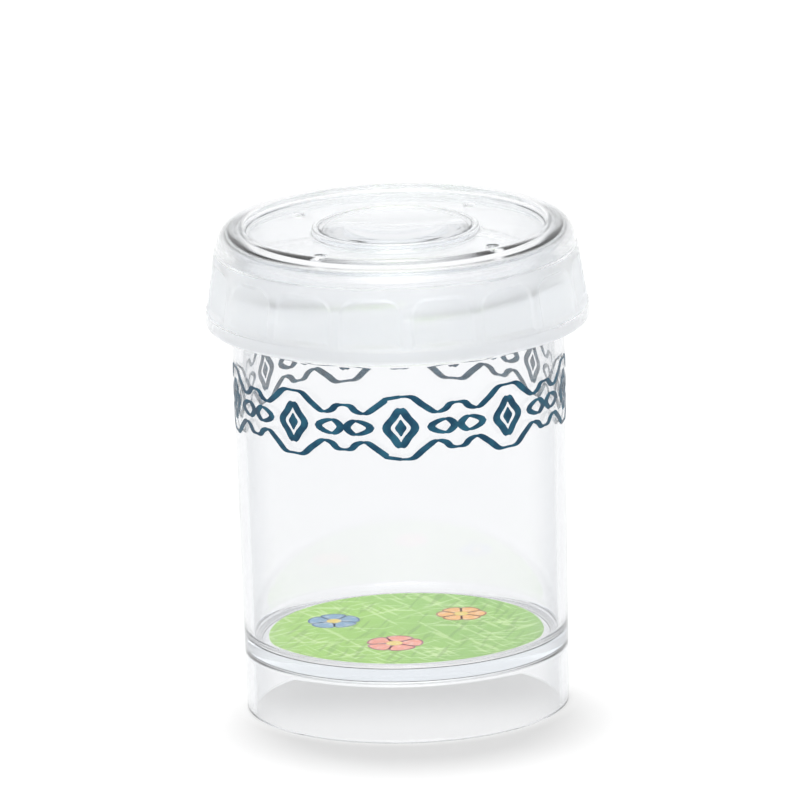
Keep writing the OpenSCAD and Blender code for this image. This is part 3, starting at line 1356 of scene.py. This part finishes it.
@dataclass(frozen=True)
class Flower:
    """A small printed flower.

    Attributes:
        x: its place across the label.
        y: its place along the label.
        r: length of its petals.
        petals: number of petals.
        turn: turn of the first petal, in degrees.
        fill: colour of the petals.
        edge: colour of the outlines.
        petal: a petal's points, as shares of its length and of its half width.
        step: greatest length of a piece of its outline.
        heart_share: the heart's share of the petals' length.
        heart_steps: steps of the heart's round.
    """

    x: float
    y: float
    r: float
    petals: int
    turn: float
    fill: tuple[float, float, float]
    edge: tuple[float, float, float]
    petal: tuple[tuple[float, float], ...] = (
        (0.22, 0), (0.5, 0.62), (0.82, 0.8), (1.0, 0.3), (1.0, -0.3), (0.82, -0.8), (0.5, -0.62))
    step: float = 0.3
    heart_share: float = 0.3
    heart_steps: int = 24

    def draw(self, sheet: InkSheet, heart: tuple[float, float, float], lift: float) -> None:
        """Draws the flower on a sheet.

        Args:
            sheet: the sheet.
            heart: colour of the flower's middle.
            lift: height of each ink over the one under it.
        """
        middle = Vector((self.x, self.y))
        petals = []
        for i in range(self.petals):
            angle = math.radians(self.turn) + i * FULL_TURN / self.petals
            along = Vector((math.cos(angle), math.sin(angle))) * self.r
            across = Vector((-along.y, along.x)) * math.sin(math.pi / self.petals)
            knots = [tuple(middle + along * reach + across * side) for reach, side in self.petal]
            petals.append(smooth_line(knots, True, self.step))
        for petal in petals:
            sheet.patch(petal)
        sheet.paint(self.fill)
        for petal in petals:
            sheet.stroke(petal, True)
        sheet.paint(self.edge, lift)
        steps = self.heart_steps
        sheet.patch([middle + Vector((math.cos(a), math.sin(a))) * self.r * self.heart_share
                     for a in (i * FULL_TURN / steps for i in range(steps))])
        sheet.paint(heart, 2 * lift)


@dataclass(frozen=True)
class PictureLabel:
    """The round label on the floor: printed grass with a few flowers.

    Attributes:
        paper: its printed paper.
        ink: the ink of its flowers.
        r: its radius.
        low_z: height of its underside.
        thickness: its thickness.
        ink_t: thickness of the flowers' ink.
        nib: the pen that draws their outlines.
        heart: colour of their hearts.
        flowers: the flowers.
    """

    paper: PrintedGrass
    ink: ColourInk
    r: float = 28.29
    low_z: float = 15.23
    thickness: float = 0.18
    ink_t: float = 0.02
    nib: Nib = Nib(0.4, 0.4)
    heart: tuple[float, float, float] = (0.75, 0.55, 0.08)
    flowers: tuple[Flower, ...] = (
        Flower(-15.0, 8.0, 5.2, 5, 20, (0.16, 0.33, 0.5), (0.03, 0.1, 0.25)),
        Flower(11.5, 11.0, 5.0, 6, 0, (0.85, 0.42, 0.1), (0.35, 0.1, 0.02)),
        Flower(-2.5, -10.5, 5.6, 5, 75, (0.8, 0.26, 0.17), (0.3, 0.04, 0.08)),
    )

    def build(self) -> None:
        """Builds the label and the ink of its flowers."""
        bm = bmesh.new()
        top = self.low_z + self.thickness
        turn_section(bm, [Corner(0, self.low_z), Corner(self.r, self.low_z), Corner(self.r, top),
                          Corner(0, top)], COLUMNS // 2)
        paper = self.paper.make((top - self.ink_t) * MM)
        finish_piece(bm, "grass_label", Body.JAR, paper, ("floor_disc",))
        sheet = InkSheet(self.nib)
        for flower in self.flowers:
            flower.draw(sheet, self.heart, self.ink_t / 2)
        sheet.thicken(self.ink_t)
        bmesh.ops.translate(sheet.bm, vec=(0, 0, top), verts=sheet.bm.verts)
        finish_piece(sheet.bm, "label_flowers", Body.JAR, self.ink.make())


# ---- studio ----


@dataclass(frozen=True)
class Studio:
    """Pale floor, soft light and the camera.

    Attributes:
        elevation: the camera's angle over the horizon, in degrees.
        roll: how far it is turned about its view, in degrees.
        distance: its distance from its aim, in metres.
        lens: its focal length, in mm.
        aim_z: height of its aim, in mm.
        floor_size: width of the floor, in metres.
        floor_gloss: lowest and highest roughness of the floor.
        table_glow: light of the floor, which is a light table.
        painted_foot_light: pool of light painted into the floor's glow within the foot, over that, brighter
            towards the front.
        foot_edge: distances from the axis between which that painted light ends, in mm.
        foot_front: places from front to back between which that painted light ends, in mm.
        table_shade: brightness of the floor's own colour.
        table_change: how much that changes.
        key: brightness that the lamp gives to a white floor.
        key_tilt: the lamp's angle from straight above, in degrees.
        key_side: its turn to the left, in degrees.
        key_span: the angle that it fills, in degrees.
        key_distance: its distance, in metres.
        low_ring: light near the horizon from the front, the sides and the back.
        high_ring: the same higher up.
        overhead: light from above.
        ring_turn: share of a direction to the back or front where a ring's light starts to change, and ends.
        ring_rise: upward shares between which the low ring gives way to the high one.
        overhead_rise: upward shares between which that gives way to the light from above.
        softbox: light of the softbox in front, over that.
        softbox_height: its height over the horizon, in degrees.
        softbox_span: angles from its middle between which it fades, in degrees.
        shading: the pieces that stand in the lamp's way.
    """

    elevation: float = 14.7
    roll: float = 1.6
    distance: float = 4.1
    lens: float = 900.0
    aim_z: float = 64.0
    floor_size: float = 30.0
    floor_gloss: tuple[float, float] = (0.7, 0.8)
    table_glow: float = 0.61
    painted_foot_light: float = 0.24
    foot_edge: tuple[float, float] = (30.0, 36.0)
    foot_front: tuple[float, float] = (-22.0, 10.0)
    table_shade: float = 0.08
    table_change: float = 0.01
    key: float = 4.0
    key_tilt: float = 11.0
    key_side: float = 6.0
    key_span: float = 13.0
    key_distance: float = 3.0
    low_ring: tuple[float, float, float] = (1.5, 0.9, 1.05)
    high_ring: tuple[float, float, float] = (1.0, 0.8, 1.0)
    overhead: float = 1.4
    ring_turn: tuple[float, float] = (0.15, 0.85)
    ring_rise: tuple[float, float] = (0.25, 0.5)
    overhead_rise: tuple[float, float] = (0.6, 0.85)
    softbox: float = 2.2
    softbox_height: float = 27.0
    softbox_span: tuple[float, float] = (12.0, 36.0)
    shading: tuple[str, ...] = ("clear_jar", "grass_label", "band_print")

    def build(self) -> None:
        """Builds the floor, the light and the camera."""
        floor = self._floor()
        self._light()
        self._key_light(floor)
        self._camera()
        scene = bpy.context.scene
        scene.view_settings.view_transform = "Standard"
        scene.cycles.max_bounces = 40
        scene.cycles.transmission_bounces = 36
        scene.cycles.glossy_bounces = 12
        scene.cycles.diffuse_bounces = 6
        scene.cycles.transparent_max_bounces = 16
        scene.cycles.blur_glossy = 0.0
        scene.cycles.caustics_refractive = True
        scene.cycles.caustics_reflective = True

    def _floor(self) -> bpy.types.Object:
        """Lays the pale floor, a white light table, with a pool of light painted into its glow inside the
        jar's foot.

        Returns:
            The floor.
        """
        bm = bmesh.new()
        bmesh.ops.create_grid(bm, x_segments=8, y_segments=8, size=self.floor_size / 2)
        mesh = bpy.data.meshes.new("floor")
        bm.to_mesh(mesh)
        bm.free()
        floor = bpy.data.objects.new("floor", mesh)
        bpy.context.scene.collection.objects.link(floor)
        material, board, shader = new_material("pale_floor")
        shader.inputs["Emission Color"].default_value = (1, 1, 1, 1)
        place = board.add("ShaderNodeTexCoord").outputs["Object"]
        from_axis = board.add("ShaderNodeVectorMath", {0: place}, operation="LENGTH").outputs["Value"]
        y = board.add("ShaderNodeSeparateXYZ", {0: place}).outputs["Y"]
        # Painted light: extra glow inside the jar's foot, strongest at the front, fading towards the back and
        # past the foot's edge.
        front, back = (value * MM for value in self.foot_front)
        painted_pool = board.ramp(y, front, back, self.painted_foot_light, 0.0)
        inside = board.ramp(from_axis, *(value * MM for value in self.foot_edge), 1.0, 0.0)
        glow = board.maths("MULTIPLY_ADD", painted_pool, inside, self.table_glow)
        board.link(glow, shader, "Emission Strength")
        light, dark = ((self.table_shade + side * self.table_change,) * 3 for side in (1, -1))
        board.link(board.blend(board.noise(6, 2), (*dark, 1), (*light, 1)), shader, "Base Color")
        board.link(board.ramp(board.noise(9, 2), 0.3, 0.7, *self.floor_gloss), shader, "Roughness")
        shader.inputs["Specular IOR Level"].default_value = 0.1
        mesh.materials.append(material)
        return floor

    def _ring(self, board: NodeBoard, y: bpy.types.NodeSocket,
              levels: tuple[float, float, float]) -> bpy.types.NodeSocket:
        """Gives the light of a ring of the surroundings.

        Args:
            board: the world's nodes.
            y: how far a direction points to the back.
            levels: light from the front, the sides and the back.

        Returns:
            The light.
        """
        front, side, back = levels
        start, end = self.ring_turn
        to_back = board.ramp(y, start, end, side, back)
        to_front = board.ramp(y, -end, -start, front - side, 0.0)
        return board.maths("ADD", to_back, to_front)

    def _light(self) -> None:
        """Sets the soft light that comes from all round."""
        world = bpy.data.worlds.new("studio")
        bpy.context.scene.world = world
        world.use_nodes = True
        board = NodeBoard(world.node_tree)
        way = board.add("ShaderNodeTexCoord").outputs["Generated"]
        y, z = board.add("ShaderNodeSeparateXYZ", {0: way}).outputs[1:]
        low, high = self._ring(board, y, self.low_ring), self._ring(board, y, self.high_ring)
        rise = board.maths("SUBTRACT", high, low)
        sides = board.maths("MULTIPLY_ADD", rise, board.ramp(z, *self.ring_rise), low)
        over = board.maths("SUBTRACT", self.overhead, sides)
        even = board.maths("MULTIPLY_ADD", over, board.ramp(z, *self.overhead_rise), sides)
        lift = math.radians(self.softbox_height)
        near = board.add("ShaderNodeVectorMath", {0: way, 1: (0, -math.cos(lift), math.sin(lift))},
                         operation="DOT_PRODUCT").outputs["Value"]
        inner, outer = (math.cos(math.radians(angle)) for angle in self.softbox_span)
        strength = board.maths("ADD", even, board.ramp(near, outer, inner, 0.0, self.softbox))
        shine = board.add("ShaderNodeBackground", {"Color": (1, 1, 1, 1), "Strength": strength})
        board.add("ShaderNodeOutputWorld", {"Surface": shine.outputs[0]})

    def _key_light(self, floor: bpy.types.Object) -> None:
        """Sets a broad lamp high up behind the jar, which draws the jar's soft shadow on the floor.

        It lights the floor alone, and the jar without its lid stands in its way.

        Args:
            floor: the floor.
        """
        tilt, side = math.radians(self.key_tilt), math.radians(self.key_side)
        way = Vector((-math.sin(side) * math.sin(tilt), math.cos(side) * math.sin(tilt), math.cos(tilt)))
        data = bpy.data.lights.new("key", "AREA")
        data.shape = "DISK"
        data.size = 2 * self.key_distance * math.tan(math.radians(self.key_span / 2))
        data.energy = self.key * (math.pi * self.key_distance) ** 2 / math.cos(tilt)
        data.cycles.use_multiple_importance_sampling = False
        lamp = bpy.data.objects.new("key", data)
        bpy.context.scene.collection.objects.link(lamp)
        lamp.location = way * self.key_distance
        lamp.rotation_euler = way.to_track_quat("Z", "Y").to_euler()
        lamp.visible_camera = False
        lit = bpy.data.collections.new("lit_by_key")
        lit.objects.link(floor)
        lamp.light_linking.receiver_collection = lit
        shading = bpy.data.collections.new("shades_key")
        for name in self.shading:
            shading.objects.link(bpy.data.objects[name])
        lamp.light_linking.blocker_collection = shading

    def _camera(self) -> None:
        """Sets the camera at the photograph's angle, with room above for the raised lid."""
        data = bpy.data.cameras.new("camera")
        data.lens = self.lens
        data.clip_start, data.clip_end = 0.1, 60
        camera = bpy.data.objects.new("camera", data)
        bpy.context.scene.collection.objects.link(camera)
        tilt = math.radians(self.elevation)
        back = Vector((0, -math.cos(tilt), math.sin(tilt)))
        camera.location = Vector((0, 0, self.aim_z * MM)) + back * self.distance
        level = (-back).to_track_quat("-Z", "Y").to_matrix()
        camera.rotation_euler = (Matrix.Rotation(math.radians(self.roll), 3, -back) @ level).to_euler()
        bpy.context.scene.camera = camera


def main() -> None:
    """Builds the jar, its lid, lens and print, and the studio round them."""
    logging.basicConfig(level=logging.INFO, format="%(name)s %(message)s")
    thread = ScrewThread()
    # The jar's edge colour is painted shade for its wall seen edge on.
    jar = Jar(ClearPlastic("clear_jar", painted_edge_shade=(0.74, 0.755, 0.775)), thread)
    jar.build()
    Lid(ClearPlastic("clear_lid", (0.98, 0.983, 0.988), satin=0.62), thread).build()
    Lens(ClearPlastic("clear_lens", wave=0.0)).build()
    PrintedBand(PrintInk("band_ink", (0.002, 0.037, 0.074), (0.01, 0.078, 0.126)), jar).build()
    grass = PrintedGrass("printed_grass", (0.32, 0.59, 0.105), (0.27, 0.52, 0.12), (0.66, 0.82, 0.4))
    PictureLabel(grass, ColourInk("flower_ink")).build()
    Studio().build()


if __name__ == "__main__":
    main()
